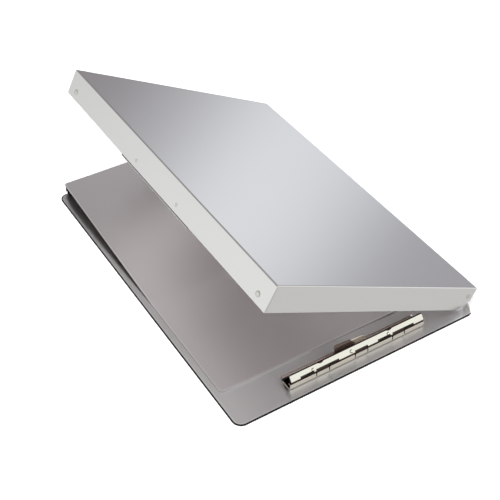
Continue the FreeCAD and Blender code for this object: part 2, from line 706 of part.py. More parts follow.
def clip_pin():
    return pin_cylinder(CLIP_PIN_RADIUS, jaw_x[0] + CLIP_PIN_INSET, jaw_x[1] - CLIP_PIN_INSET)


def clip_thumb_tab():
    """A bent tab welded on the jaw's back slope, pushed down with the thumb to open the jaw."""
    hinge, ridge, foot, lip = jaw_points()
    run = math.hypot(foot[0] - ridge[0], foot[1] - ridge[1])
    down = ((foot[0] - ridge[0]) / run, (foot[1] - ridge[1]) / run)
    top = (ridge[0] + down[0] * TAB_FROM_RIDGE, ridge[1] + down[1] * TAB_FROM_RIDGE)
    low = (top[0] + down[0] * TAB_FOOT, top[1] + down[1] * TAB_FOOT)
    lean = math.radians(TAB_LEAN)
    tip = (top[0] + TAB_RISE * math.sin(lean), top[1] + TAB_RISE * math.cos(lean))
    section = bent_sheet([tip, top, low][::-1], TAB_SHEET, CLIP_BEND_RADIUS, in_yz)
    centre = clip_centre_x + TAB_CENTRE_OFFSET
    x0, x1 = centre - TAB_WIDTH / 2, centre + TAB_WIDTH / 2
    tab = along_x(section, x0, x1)
    low_tip = top[1] + TAB_LOW_RISE * math.cos(lean)
    outline = rounded_face(
        [(x0, low[1] - OVERRUN), (x1, low[1] - OVERRUN), (x1, low_tip), (x0, tip[1])],
        [0, 0, TAB_CORNER_RADIUS, TAB_CORNER_RADIUS], in_xz)
    return clean(tab.common(along_y(outline, top[0] - OVERRUN, tip[0] + low[0])))


def clip_rivet_pair():
    grip = CLIP_SHEET + BASE_SHEET
    return Part.makeCompound([
        rivet(place, Vector(0, 0, 1), grip, RIVET_HEAD_RADIUS, CLIP_RIVET_HEAD_HEIGHT,
              RIVET_SHANK_RADIUS, 0)
        for place in clip_rivets()])


def clip_spring(knuckle):
    """Two coils on the pin, one each side of a bracket knuckle, held to their plain outline."""
    start, end = knuckle
    inner = CLIP_PIN_RADIUS + SPRING_PIN_GAP
    length = SPRING_PITCH * SPRING_TURNS
    left = start - BRACKET_SLIT - JAW_FINGER - SPRING_SIDE_GAP
    right = end + SPRING_SIDE_GAP
    sleeves = []
    for near, far in ((left - length, left), (right, right + length)):
        outside = many_sided(inner + SPRING_WIRE, ROLL_SIDES, in_yz)
        inside = many_sided(inner, ROLL_SIDES, in_yz)
        sleeve = along_x(outside, near, far).cut(along_x(inside, near, far))
        sleeve.translate(Vector(0, clip_y, clip_z))
        sleeves.append(clean(sleeve))
    return Part.makeCompound(sleeves)


def export(name, shape):
    shape = shape.copy()
    shape.translate(Vector(-BASE_WIDTH / 2, -BASE_LENGTH / 2, 0))
    shape.exportStep(os.path.join("parts", name + ".step"))


outer_knuckles = knuckle_spans()[::2]

export("base_plate", base_plate())
export("spine_hinge_base_leaf", spine_hinge_base_leaf())
export("spine_hinge_pin", spine_hinge_pin())
export("spine_base_rivets", spine_base_rivets())
export("plate_hinge_fixed_leaf", plate_hinge_fixed_leaf())
export("plate_hinge_pin", plate_hinge_pin())
export("clip_bracket", clip_bracket())
export("clip_pin", clip_pin())
export("clip_rivets", clip_rivet_pair())

export("lid_pan", open_lid(lid_pan()))
export("lid_corner_rivets", open_lid(lid_corner_rivets()))
export("spine_hinge_lid_leaf", open_lid(spine_hinge_lid_leaf()))
export("spine_lid_rivets", open_lid(spine_lid_rivets()))
export("latch_strip", open_lid(latch_strip()))
export("latch_rivets", open_lid(latch_rivet_pair()))

export("writing_plate", writing_plate())
export("plate_hinge_moving_leaf", plate_hinge_moving_leaf())

export("clip_jaw", clip_jaw())
export("clip_thumb_tab", clip_thumb_tab())
export("clip_spring_left", clip_spring(outer_knuckles[0]))
export("clip_spring_right", clip_spring(outer_knuckles[1]))
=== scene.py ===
import math

import bmesh
import bpy
from mathutils import Matrix, Vector


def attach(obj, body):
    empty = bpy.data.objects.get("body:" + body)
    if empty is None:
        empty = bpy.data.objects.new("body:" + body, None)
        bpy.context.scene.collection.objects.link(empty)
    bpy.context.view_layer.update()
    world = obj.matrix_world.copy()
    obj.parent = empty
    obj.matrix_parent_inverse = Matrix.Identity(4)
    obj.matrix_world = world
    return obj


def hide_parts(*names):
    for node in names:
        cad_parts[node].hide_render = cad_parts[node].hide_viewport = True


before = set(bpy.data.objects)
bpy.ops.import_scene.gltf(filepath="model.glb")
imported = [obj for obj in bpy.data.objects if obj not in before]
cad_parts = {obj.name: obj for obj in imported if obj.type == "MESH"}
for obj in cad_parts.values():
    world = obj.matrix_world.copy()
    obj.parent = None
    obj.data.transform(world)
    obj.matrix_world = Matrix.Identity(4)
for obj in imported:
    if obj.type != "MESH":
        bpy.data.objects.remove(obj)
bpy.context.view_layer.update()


# The camera stands in front of the clip end on the free side, a little over half a metre up,
# and looks down across the box as the photograph does.
def in_scene(name, data):
    """A new object of the given mesh, lamp or camera, put in the scene."""
    obj = bpy.data.objects.new(name, data)
    bpy.context.scene.collection.objects.link(obj)
    return obj


stand = Vector((-0.37925, -0.5730, 0.6159))
sight = Vector((0.4093, 0.6239, -0.6658)).normalized()
across = sight.cross(Vector((0.3433, 0.5707, 0.7459))).normalized()
upright = across.cross(sight)
camera = in_scene("camera", bpy.data.cameras.new("camera"))
camera.data.sensor_width = 36.0
camera.data.lens = 70.96
camera.data.clip_start = 0.05
camera.data.clip_end = 50.0
camera.matrix_world = Matrix.Translation(stand) @ Matrix(
    (across, upright, -sight)).transposed().to_4x4()
bpy.context.scene.camera = camera


# The table: a plain white studio table, matt, that runs on past the picture's edges. It lies
# a hair below the box and isn't seen in the metal, which shows the room's own table tone.
def blank_material(name):
    """A new material with no nodes, and its nodes and links."""
    material = bpy.data.materials.new(name)
    material.use_nodes = True
    material.node_tree.nodes.clear()
    return material, material.node_tree.nodes, material.node_tree.links


floor_material, nodes, links = blank_material("white_table")
out = nodes.new("ShaderNodeOutputMaterial")
paint = nodes.new("ShaderNodeBsdfDiffuse")
paint.inputs["Color"].default_value = (0.93, 0.93, 0.93, 1)
links.new(paint.outputs[0], out.inputs["Surface"])
table_reach, table_drop = 30, 0.0003
corners = [(x * table_reach, y * table_reach, 0)
           for x, y in ((-1, -1), (1, -1), (1, 1), (-1, 1))]
floor_mesh = bpy.data.meshes.new("floor")
floor_mesh.from_pydata(corners, [], [(0, 1, 2, 3)])
floor_mesh.materials.append(floor_material)
floor = in_scene("floor", floor_mesh)
floor.location.z = -table_drop
floor.visible_glossy = False

# Studio light: a grey room with one tall bright panel to the far right, seen in the lid as a
# soft band, white walls on the free side and a soft box to the right of the camera, seen in
# the clip. Two broad lamps light the table. Bearings run from 0 to 1, with +X at 0.5.
world = bpy.data.worlds.new("studio")
bpy.context.scene.world = world
world.use_nodes = True
nodes, links = world.node_tree.nodes, world.node_tree.links
nodes.clear()


def graded(name, stops, source):
    """A colour ramp from a list of (place, colour)."""
    ramp = nodes.new("ShaderNodeValToRGB")
    ramp.name = name
    points = ramp.color_ramp.elements
    points.remove(points[1])
    points[0].position, points[0].color = stops[0][0], (*stops[0][1], 1)
    for place, colour in stops[1:]:
        points.new(place).color = (*colour, 1)
    links.new(source, ramp.inputs["Fac"])
    return ramp.outputs["Color"]


def spanned(source, low, high):
    """Bring a value between low and high into 0 to 1."""
    span = nodes.new("ShaderNodeMapRange")
    span.inputs["From Min"].default_value = low
    span.inputs["From Max"].default_value = high
    links.new(source, span.inputs["Value"])
    return span.outputs[0]


def blended(share, first, second):
    """First where share is 0, second where it is 1."""
    mix = nodes.new("ShaderNodeMix")
    mix.data_type = "RGBA"
    for socket, source in (("Factor", share), ("A", first), ("B", second)):
        links.new(source, mix.inputs[socket])
    return mix.outputs["Result"]


out = nodes.new("ShaderNodeOutputWorld")
sky = nodes.new("ShaderNodeBackground")
links.new(sky.outputs[0], out.inputs["Surface"])
direction = nodes.new("ShaderNodeTexCoord").outputs["Generated"]
parts = nodes.new("ShaderNodeSeparateXYZ")
links.new(direction, parts.inputs[0])
bearing = nodes.new("ShaderNodeMath")
bearing.operation = "ARCTAN2"
links.new(parts.outputs["Y"], bearing.inputs[0])
links.new(parts.outputs["X"], bearing.inputs[1])
turn = spanned(bearing.outputs[0], -math.pi, math.pi)
rise = spanned(parts.outputs["Z"], -1.0, 1.0)
dim, warm, white = (0.27, 0.25, 0.265), (0.58, 0.56, 0.53), (0.86, 0.86, 0.84)
bright, black, full = (0.95, 0.95, 0.95), (0, 0, 0), (1, 1, 1)
sides = [(0.00, white), (0.12, warm), (0.39, warm), (0.415, bright), (0.45, bright),
         (0.50, (0.39, 0.38, 0.395)), (0.583, (0.39, 0.38, 0.40))]
free_side = [(0.70, dim), (0.80, (0.44, 0.44, 0.44)), (0.885, white), (1.00, white)]
walls_high = graded("walls_high", sides + [
    (0.590, (0.44, 0.44, 0.47)), (0.598, (0.69, 0.71, 0.74)), (0.606, (0.86, 0.88, 0.91)),
    (0.619, (0.85, 0.87, 0.90)), (0.629, (0.49, 0.49, 0.51)), (0.641, dim)] + free_side, turn)
walls_low = graded("walls_low", sides + [
    (0.592, (0.38, 0.38, 0.40)), (0.600, (0.62, 0.63, 0.66)), (0.609, (0.74, 0.76, 0.79)),
    (0.619, (0.80, 0.82, 0.85)), (0.631, (0.50, 0.50, 0.52)), (0.642, dim)] + free_side, turn)
low_wall, high_wall = -0.07, 0.03
walls = blended(spanned(parts.outputs["Z"], low_wall, high_wall), walls_low, walls_high)
table = graded("table", [
    (0.00, (0.66, 0.65, 0.63)), (0.42, (0.62, 0.61, 0.59)), (0.62, (0.62, 0.60, 0.59)),
    (0.76, (0.76, 0.74, 0.74)), (0.88, (0.76, 0.74, 0.74)), (1.00, (0.66, 0.65, 0.63))], turn)
ceiling = graded("ceiling", [
    (0.00, (0.60, 0.60, 0.60)), (0.30, (0.40, 0.39, 0.39)), (0.655, (0.43, 0.42, 0.42)),
    (0.692, (0.45, 0.44, 0.445)), (0.715, (0.16, 0.15, 0.15)), (0.765, (0.16, 0.15, 0.15)),
    (0.800, (0.51, 0.48, 0.485)), (1.00, (0.60, 0.60, 0.60))], turn)
bays = graded("bays", [(0.790, black), (0.815, full), (0.860, full), (0.900, black)], turn)
rows = graded("rows", [
    (0.665, (0.36, 0.34, 0.345)), (0.705, (0.68, 0.64, 0.645)), (0.750, (0.68, 0.64, 0.645)),
    (0.775, (0.28, 0.25, 0.255)), (1.0, (0.28, 0.25, 0.255))], parts.outputs["Z"])
ceiling = blended(bays, ceiling, rows)
mid_height = 0.2
ends = blended(spanned(parts.outputs["Z"], -mid_height, mid_height), table, ceiling)
share = graded("share", [(0.22, full), (0.38, black), (0.62, black), (0.78, full)], rise)
room = blended(share, walls, ends)
soft_box_way, soft_edge, soft_core = Vector((0.42, -0.66, 0.62)), 0.83, 0.95
aim = nodes.new("ShaderNodeVectorMath")
aim.operation = "DOT_PRODUCT"
aim.inputs[1].default_value = soft_box_way.normalized()
links.new(direction, aim.inputs[0])
soft_box = nodes.new("ShaderNodeRGB")
soft_box.outputs[0].default_value = (0.90, 0.95, 0.96, 1)
room = blended(spanned(aim.outputs["Value"], soft_edge, soft_core), room, soft_box.outputs[0])
links.new(room, sky.inputs["Color"])
sky.inputs["Strength"].default_value = 1.0


def broad_lamp(name, place, size, power):
    """A square lamp aimed at the box, lighting the table but unseen in the metal."""
    lamp = bpy.data.lights.new(name, "AREA")
    lamp.shape = "RECTANGLE"
    lamp.size, lamp.size_y = size, size
    lamp.energy = power
    obj = in_scene(name, lamp)
    obj.location = place
    obj.rotation_mode = "QUATERNION"
    obj.rotation_quaternion = (-obj.location).to_track_quat("-Z", "Y")
    obj.visible_glossy = False


broad_lamp("key", (-1.2, -1.4, 2.4), 2.4, 125)
broad_lamp("fill", (-1.6, 1.8, 2.0), 2.0, 60)
bpy.context.scene.view_settings.view_transform = "Standard"


# Base plate: 1 mm aluminium sheet with a fine satin grain, folded up at the spine and at the
# far end. Its sheared edges carry a near-black painted shade, with a painted highlight line
# beside them. Everything else is fixed to it.
def metal_material(name, colour, roughness, grain, tone=0.006, smear=0.0):
    """Metal whose tone and gloss vary a little; grain is the pattern's repeats per metre.

    smear stretches its reflections along the piece's y."""
    clouds_per_metre, clouds_share, gloss_spread = 14.0, 0.35, 0.04
    gloss_from, tone_from = 0.35, 0.3
    material, nodes, links = blank_material(name)
    out = nodes.new("ShaderNodeOutputMaterial")
    metal = nodes.new("ShaderNodeBsdfPrincipled")
    metal.inputs["Metallic"].default_value = 1.0
    links.new(metal.outputs[0], out.inputs["Surface"])
    if smear:
        metal.inputs["Anisotropic"].default_value = smear
        lay = nodes.new("ShaderNodeCombineXYZ")
        lay.inputs["Y"].default_value = 1.0
        turned = nodes.new("ShaderNodeVectorTransform")
        turned.convert_from, turned.convert_to = "OBJECT", "WORLD"
        links.new(lay.outputs[0], turned.inputs[0])
        links.new(turned.outputs[0], metal.inputs["Tangent"])
    where = nodes.new("ShaderNodeTexCoord")
    stretch = nodes.new("ShaderNodeMapping")
    stretch.inputs["Scale"].default_value = grain
    links.new(where.outputs["Object"], stretch.inputs["Vector"])
    scratches = nodes.new("ShaderNodeTexNoise")
    scratches.inputs["Scale"].default_value = 1.0
    scratches.inputs["Detail"].default_value = 3.0
    links.new(stretch.outputs[0], scratches.inputs["Vector"])
    clouds = nodes.new("ShaderNodeTexNoise")
    clouds.inputs["Scale"].default_value = clouds_per_metre
    links.new(where.outputs["Object"], clouds.inputs["Vector"])
    both = nodes.new("ShaderNodeMath")
    both.operation = "MULTIPLY_ADD"
    both.inputs[1].default_value = clouds_share
    links.new(clouds.outputs["Fac"], both.inputs[0])
    links.new(scratches.outputs["Fac"], both.inputs[2])
    gloss = nodes.new("ShaderNodeMapRange")
    gloss.inputs["From Min"].default_value = gloss_from
    gloss.inputs["To Min"].default_value = roughness * (1 - gloss_spread)
    gloss.inputs["To Max"].default_value = roughness * (1 + gloss_spread)
    links.new(both.outputs[0], gloss.inputs["Value"])
    links.new(gloss.outputs[0], metal.inputs["Roughness"])
    shade = nodes.new("ShaderNodeValToRGB")
    low, high = shade.color_ramp.elements
    low.position, high.position = tone_from, 1.0
    low.color = (*[c * (1 - tone) for c in colour], 1)
    high.color = (*[min(c * (1 + tone), 1.0) for c in colour], 1)
    links.new(both.outputs[0], shade.inputs["Fac"])
    links.new(shade.outputs[0], metal.inputs["Base Color"])
    return material


def vector_step(nodes, links, operation, first, second=None):
    """One step of vector arithmetic in a material or tree."""
    step = nodes.new("ShaderNodeVectorMath")
    step.operation = operation
    links.new(first, step.inputs[0])
    if second is not None:
        step.inputs[1].default_value = second
    return step.outputs["Value" if operation == "LENGTH" else "Vector"]


def number_step(nodes, links, operation, first, second):
    """One step of arithmetic on two numbers or sockets."""
    step = nodes.new("ShaderNodeMath")
    step.operation = operation
    for socket, source in zip(step.inputs, (first, second)):
        if isinstance(source, (int, float)):
            socket.default_value = source
        else:
            links.new(source, socket)
    return step.outputs[0]


def paint_rim_light_and_shade(material, low, high, radius, painted_shade, painted_highlight):
    """Paint shade and a highlight on a sheet's rim by its distance from a rounded outline seen
    from above.

    The painted shade is on the edge itself and the painted highlight in a line beside it."""
    nodes, links = material.node_tree.nodes, material.node_tree.links
    metal = next(node for node in nodes if node.type == "BSDF_PRINCIPLED")
    where = next(node for node in nodes if node.type == "TEX_COORD").outputs["Object"]
    centre = [(a + b) / 2 for a, b in zip(low, high)]
    half = [(b - a) / 2 - radius for a, b in zip(low, high)]
    flat = vector_step(nodes, links, "MULTIPLY", where, (1, 1, 0))
    offset = vector_step(nodes, links, "SUBTRACT", flat, (*centre, 0))
    offset = vector_step(nodes, links, "ABSOLUTE", offset)
    offset = vector_step(nodes, links, "SUBTRACT", offset, (*half, 0))
    corner = vector_step(nodes, links, "MAXIMUM", offset, (0, 0, 0))
    corner = vector_step(nodes, links, "LENGTH", corner)
    axes = nodes.new("ShaderNodeSeparateXYZ")
    links.new(offset, axes.inputs[0])
    inside = number_step(nodes, links, "MAXIMUM", axes.outputs["X"], axes.outputs["Y"])
    inside = number_step(nodes, links, "MINIMUM", inside, 0.0)
    distance = number_step(nodes, links, "ADD", corner, inside)
    distance = number_step(nodes, links, "SUBTRACT", distance, radius)
    finish = metal.inputs["Base Color"].links[0].from_socket
    depth = 0.004
    # The highlight band and the shade band are painted light and painted shade on the rim.
    painted_highlight_band = ((-0.0025, 0), (-0.0021, 1), (-0.0014, 1), (-0.0011, 0))
    painted_shade_band = ((-0.0012, 0), (-0.0010, 1))
    for colour, stops in ((painted_highlight, painted_highlight_band), (painted_shade, painted_shade_band)):
        if not colour:
            continue
        span = nodes.new("ShaderNodeMapRange")
        span.inputs["From Min"].default_value = -depth
        span.inputs["From Max"].default_value = 0.0
        links.new(distance, span.inputs["Value"])
        ramp = nodes.new("ShaderNodeValToRGB")
        points = ramp.color_ramp.elements
        points.remove(points[1])
        points[0].position, points[0].color = 0.0, (0, 0, 0, 1)
        for place, level in stops:
            points.new(1 + place / depth).color = (level, level, level, 1)
        links.new(span.outputs[0], ramp.inputs["Fac"])
        mix = nodes.new("ShaderNodeMix")
        mix.data_type = "RGBA"
        mix.inputs["B"].default_value = (*colour, 1)
        links.new(ramp.outputs["Color"], mix.inputs["Factor"])
        links.new(finish, mix.inputs["A"])
        finish = mix.outputs["Result"]
    links.new(finish, metal.inputs["Base Color"])


weld = 0.000002     # points closer together than this are one


def settled(obj, name):
    """Bake an object's modifiers into one plain, closed mesh and keep only that."""
    bpy.context.view_layer.update()
    graph = bpy.context.evaluated_depsgraph_get()
    mesh = bpy.data.meshes.new_from_object(obj.evaluated_get(graph))
    mesh.name = name
    obj.modifiers.clear()
    obj.data = mesh
    obj.name = name
    return obj


def eased_copy(node, body, materials, ease=0.00015, shape=None):
    """A CAD sheet's form with its edges eased and its bends smooth, standing for the node."""
    level_within, eased_from = math.radians(0.5), math.radians(38)
    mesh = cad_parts[node].data.copy()
    form = bmesh.new()
    form.from_mesh(mesh)
    bmesh.ops.remove_doubles(form, verts=form.verts, dist=weld)
    bmesh.ops.recalc_face_normals(form, faces=form.faces)
    bmesh.ops.dissolve_limit(form, angle_limit=level_within, verts=form.verts,
                             edges=form.edges, delimit={"NORMAL"})
    for face in form.faces:
        face.material_index = 0
    if shape:
        shape(form)
    mesh.materials.clear()
    for material in materials:
        mesh.materials.append(material)
    form.to_mesh(mesh)
    form.free()
    mesh.shade_smooth()
    obj = in_scene(node + "_sheet", mesh)
    edges = obj.modifiers.new("edges", "BEVEL")
    edges.limit_method = "ANGLE"
    edges.angle_limit = eased_from
    edges.width = ease
    edges.segments = 2
    edges.use_clamp_overlap = True
    flat = obj.modifiers.new("flat", "WEIGHTED_NORMAL")
    flat.weight = 50
    settled(obj, node + "_sheet")
    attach(obj, body)
    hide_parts(node)


def lean_flange_end(form):
    """The spine flange's near end is snipped back towards its top."""
    flange_side, flange_end, floor_top = 0.1185, -0.1652, 0.0012
    flange_height, snip = 0.0078, 0.0050
    for vert in form.verts:
        if vert.co.x > flange_side and vert.co.y < flange_end and vert.co.z > floor_top:
            vert.co.y += snip * vert.co.z / flange_height


satin_grain = (6000, 150, 6000)
beyond = 1.0    # past a side whose rim isn't marked
base_corner, base_far_end, base_radius = (-0.12125, -0.1685), 0.1685, 0.0085
# The first colour is painted shade on the sheared edge, the second a painted highlight line
# beside it.
edge_painted_shade, edge_painted_highlight = (0.03, 0.026, 0.028), (1.0, 0.98, 0.98)
base_metal = metal_material("base_sheet", (0.87, 0.845, 0.845), 0.37, satin_grain, smear=0.9)
paint_rim_light_and_shade(base_metal, base_corner, (beyond, base_far_end), base_radius, edge_painted_shade, edge_painted_highlight)
eased_copy("base_plate", "base", [base_metal], shape=lean_flange_end)


# Piano hinges: thin aluminium strip whose knuckles are rolled round a steel wire. The spine's
# leaves are riveted inside the base plate's flange and inside the lid's wall; the writing
# plate's are spot-welded to the base plate's riser and under the plate.
def inputs_by_name(tree):
    """Each of a tree's inputs by its name, with the identifier that a modifier needs."""
    return {item.name: item.identifier for item in tree.interface.items_tree
            if item.item_type == "SOCKET" and item.in_out == "INPUT"}


def with_tree(obj, tree, name, **sizes):
    """Run a node tree on an object with its inputs set, then bake it."""
    sharp_from = math.radians(40)
    made = obj.modifiers.new("tree", "NODES")
    made.node_group = tree
    keys = inputs_by_name(tree)
    for label, value in sizes.items():
        made[keys[label.replace("_", " ")]] = value
    settled(obj, name)
    form = bmesh.new()
    form.from_mesh(obj.data)
    bmesh.ops.remove_doubles(form, verts=form.verts, dist=weld / 2)
    bmesh.ops.recalc_face_normals(form, faces=form.faces)
    form.to_mesh(obj.data)
    form.free()
    obj.data.shade_smooth()
    obj.data.set_sharp_from_angle(angle=sharp_from)
    return obj


def new_tree(name, inputs):
    """A geometry tree with the given inputs, and its nodes, links and two ends."""
    tree = bpy.data.node_groups.new(name, "GeometryNodeTree")
    tree.interface.new_socket("Geometry", in_out="OUTPUT", socket_type="NodeSocketGeometry")
    tree.interface.new_socket("Geometry", in_out="INPUT", socket_type="NodeSocketGeometry")
    for label, kind in inputs:
        tree.interface.new_socket(label, in_out="INPUT", socket_type="NodeSocket" + kind)
    nodes, links = tree.nodes, tree.links
    return tree, nodes, links, nodes.new("NodeGroupInput"), nodes.new("NodeGroupOutput")


def finish_tree(nodes, links, start, end, made):
    """Close a tree: real geometry with its material set."""
    real = nodes.new("GeometryNodeRealizeInstances")
    paint = nodes.new("GeometryNodeSetMaterial")
    links.new(made, real.inputs[0])
    links.new(real.outputs[0], paint.inputs["Geometry"])
    links.new(start.outputs["Material"], paint.inputs["Material"])
    links.new(paint.outputs[0], end.inputs[0])


leaf_tree, nodes, links, start, end = new_tree("hinge_leaf", (
    ("Knuckles", "Int"), ("First", "Vector"), ("Step", "Vector"), ("Strip Size", "Vector"),
    ("Strip Centre", "Vector"), ("Material", "Material")))
row = nodes.new("GeometryNodeMeshLine")
links.new(start.outputs["Knuckles"], row.inputs["Count"])
links.new(start.outputs["First"], row.inputs["Start Location"])
links.new(start.outputs["Step"], row.inputs["Offset"])
rolls = nodes.new("GeometryNodeInstanceOnPoints")
links.new(row.outputs[0], rolls.inputs["Points"])
links.new(start.outputs["Geometry"], rolls.inputs["Instance"])
strip = nodes.new("GeometryNodeMeshCube")
links.new(start.outputs["Strip Size"], strip.inputs["Size"])
placed = nodes.new("GeometryNodeTransform")
links.new(strip.outputs[0], placed.inputs["Geometry"])
links.new(start.outputs["Strip Centre"], placed.inputs["Translation"])
joined = nodes.new("GeometryNodeJoinGeometry")
links.new(rolls.outputs[0], joined.inputs[0])
links.new(placed.outputs[0], joined.inputs[0])
finish_tree(nodes, links, start, end, joined.outputs[0])


def piano_leaf(node, body, material, place, knuckles, pitch, sheet, height, side, first):
    """One leaf: rolled knuckles on a strip, along the hinge line that place gives."""
    gap, bore = 0.0003, 0.0008
    barrel = bore + sheet
    outline = [(barrel, side * (barrel + gap))]
    turns = [math.radians(-5 * i) for i in range(60)]    # rolled through 295 degrees
    outline += [(barrel * math.cos(t), side * barrel * math.sin(t)) for t in turns]
    outline += [(bore * math.cos(t), side * bore * math.sin(t)) for t in reversed(turns)]
    outline.append((bore, side * (barrel + gap)))
    mesh = bpy.data.meshes.new(node)
    form = bmesh.new()
    ends = [[form.verts.new((x, y, z)) for y, z in outline] for x in (gap / 2, pitch - gap / 2)]
    count = len(outline)
    for i in range(count):
        j = (i + 1) % count
        form.faces.new((ends[0][i], ends[0][j], ends[1][j], ends[1][i]))
    for ring in ends:
        for i in range(count // 2 - 1):
            form.faces.new((ring[i], ring[i + 1], ring[count - 2 - i], ring[count - 1 - i]))
    form.to_mesh(mesh)
    form.free()
    obj = in_scene(node + "_rolled", mesh)
    length = knuckles * pitch
    low, high = sorted((side * (barrel + gap), side * height))
    with_tree(obj, leaf_tree, node + "_rolled", Knuckles=(knuckles - first + 1) // 2,
              First=(first * pitch, 0, 0), Step=(2 * pitch, 0, 0),
              Strip_Size=(length, sheet, high - low),
              Strip_Centre=(length / 2, (bore + barrel) / 2, (low + high) / 2),
              Material=material)
    obj.data.transform(place)
    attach(obj, body)
    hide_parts(node)


hinge_metal = metal_material("hinge_strip", (0.82, 0.82, 0.825), 0.24, (1500, 1500, 1500))
drawn_grain = (40, 2500, 2500)
pin_metal = metal_material("drawn_wire", (0.55, 0.55, 0.56), 0.25, drawn_grain)
spine_line = Matrix.Translation((0.12105, -0.1603, 0.0097))
along_spine = Matrix.Rotation(math.radians(90), 4, "Z")
lid_angle = math.radians(26.9)
open_lid = Matrix.Rotation(lid_angle, 4, "Y")
spine = {"knuckles": 13, "pitch": 0.025, "sheet": 0.0008}
piano_leaf("spine_hinge_base_leaf", "base", hinge_metal, spine_line @ along_spine,
           height=0.0079, side=-1, first=0, **spine)
piano_leaf("spine_hinge_lid_leaf", "lid", hinge_metal, spine_line @ open_lid @ along_spine,
           height=0.0130, side=1, first=1, **spine)
plate_line = Matrix.Translation((-0.11275, 0.1677, 0.0126))
plate_slope = math.radians(4.096)
plate_hinge = {"knuckles": 27, "pitch": 0.0083, "sheet": 0.0007}
piano_leaf("plate_hinge_fixed_leaf", "base", hinge_metal, plate_line,
           height=0.0090, side=-1, first=0, **plate_hinge)
piano_leaf("plate_hinge_moving_leaf", "form_rest", hinge_metal,
           plate_line @ Matrix.Rotation(math.pi / 2 + plate_slope, 4, "X"),
           height=0.0120, side=1, first=1, **plate_hinge)


def dress(node, material):
    """Give a CAD node its finish."""
    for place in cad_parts[node].material_slots:
        place.material = material


dress("spine_hinge_pin", pin_metal)
dress("plate_hinge_pin", pin_metal)

# Rivets: flat-headed aluminium rivets, each a low dome with a rounded rim, set through the
# sheets and spread a little on the far side. One piece for each row.
rivet_tree, nodes, links, start, end = new_tree("rivets", (
    ("Head Radius", "Float"), ("Head Height", "Float"), ("Shank Radius", "Float"),
    ("Grip", "Float"), ("Tail Radius", "Float"), ("Tail Height", "Float"),
    ("Facing", "Vector"), ("Material", "Material")))


def set_number(operation, first, second):
    """A step of arithmetic in the tree being built."""
    return number_step(nodes, links, operation, first, second)


def dome(radius, height, seat, way):
    """A low round cap of the given radius and height on the level seat.

    fullness below 1 flattens its top and rounds its rim."""
    fullness = 0.55
    ball = nodes.new("GeometryNodeMeshUVSphere")
    ball.inputs["Segments"].default_value = 28
    ball.inputs["Rings"].default_value = 16
    ball.inputs["Radius"].default_value = 1.0
    spot = nodes.new("GeometryNodeInputPosition")
    axes = nodes.new("ShaderNodeSeparateXYZ")
    links.new(spot.outputs[0], axes.inputs[0])
    rise = set_number("MINIMUM", set_number("MAXIMUM", axes.outputs["Z"], 0.0), 1.0)
    rise = set_number("MULTIPLY", set_number("POWER", rise, fullness), height)
    level = set_number("ADD", seat, set_number("MULTIPLY", rise, way))
    joined = nodes.new("ShaderNodeCombineXYZ")
    links.new(set_number("MULTIPLY", axes.outputs["X"], radius), joined.inputs["X"])
    links.new(set_number("MULTIPLY", axes.outputs["Y"], radius), joined.inputs["Y"])
    links.new(level, joined.inputs["Z"])
    moved = nodes.new("GeometryNodeSetPosition")
    links.new(ball.outputs[0], moved.inputs["Geometry"])
    links.new(joined.outputs[0], moved.inputs["Position"])
    return moved.outputs[0]


below = set_number("MULTIPLY", start.outputs["Grip"], -1.0)
head = dome(start.outputs["Head Radius"], start.outputs["Head Height"], 0.0, 1.0)
tail = dome(start.outputs["Tail Radius"], start.outputs["Tail Height"], below, -1.0)
shank = nodes.new("GeometryNodeMeshCylinder")
shank.inputs["Vertices"].default_value = 20
links.new(start.outputs["Shank Radius"], shank.inputs["Radius"])
links.new(start.outputs["Grip"], shank.inputs["Depth"])
half_down = nodes.new("ShaderNodeCombineXYZ")
links.new(set_number("MULTIPLY", below, 0.5), half_down.inputs["Z"])
lowered = nodes.new("GeometryNodeTransform")
links.new(shank.outputs[0], lowered.inputs["Geometry"])
links.new(half_down.outputs[0], lowered.inputs["Translation"])
joined = nodes.new("GeometryNodeJoinGeometry")
for part in (head, tail, lowered.outputs[0]):
    links.new(part, joined.inputs[0])
aimed = nodes.new("FunctionNodeAlignRotationToVector")
aimed.axis = "Z"
links.new(start.outputs["Facing"], aimed.inputs["Vector"])
set_in = nodes.new("GeometryNodeInstanceOnPoints")
links.new(start.outputs["Geometry"], set_in.inputs["Points"])
links.new(joined.outputs[0], set_in.inputs["Instance"])
links.new(aimed.outputs[0], set_in.inputs["Rotation"])
finish_tree(nodes, links, start, end, set_in.outputs[0])


def loose_parts(node):
    """The separate solids of a CAD node, each as its points, in the mesh's own order."""
    form = bmesh.new()
    form.from_mesh(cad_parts[node].data)
    bmesh.ops.remove_doubles(form, verts=form.verts, dist=weld)
    found, seen = [], set()
    for first in form.verts:
        if first in seen:
            continue
        seen.add(first)
        reached, waiting = [], [first]
        while waiting:
            vert = waiting.pop()
            reached.append(vert.co.copy())
            near = [link.other_vert(vert) for link in vert.link_edges]
            near = [other for other in near if other not in seen]
            seen.update(near)
            waiting += near
        found.append(reached)
    form.free()
    return found


def marked_places(name, places):
    """Bare points, one for each repeat of what a tree makes."""
    mesh = bpy.data.meshes.new(name)
    mesh.from_pydata(places, [], [])
    return in_scene(name, mesh)


def rivet_row(node, body, material, turn, head, grip, tail=(0.0021, 0.0007)):
    """Round rivets in the places of a CAD node's; turn(points) gives the way the heads face.

    Heads and tails are each a radius and a height."""
    by_way = {}
    for points in loose_parts(node):
        way = turn(points)
        middle = sum(points, Vector()) / len(points)
        seat = max(point @ way for point in points) - head[1]
        by_way.setdefault(tuple(way), []).append(middle + way * (seat - middle @ way))
    pieces = []
    for way, places in by_way.items():
        obj = marked_places(node + "_round_%d" % len(pieces), places)
        pieces.append(with_tree(obj, rivet_tree, obj.name, Head_Radius=head[0],
                                Head_Height=head[1], Shank_Radius=0.0015, Grip=grip,
                                Tail_Radius=tail[0], Tail_Height=tail[1], Facing=way,
                                Material=material))
    for obj in pieces:
        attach(obj, body)
        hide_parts(node)


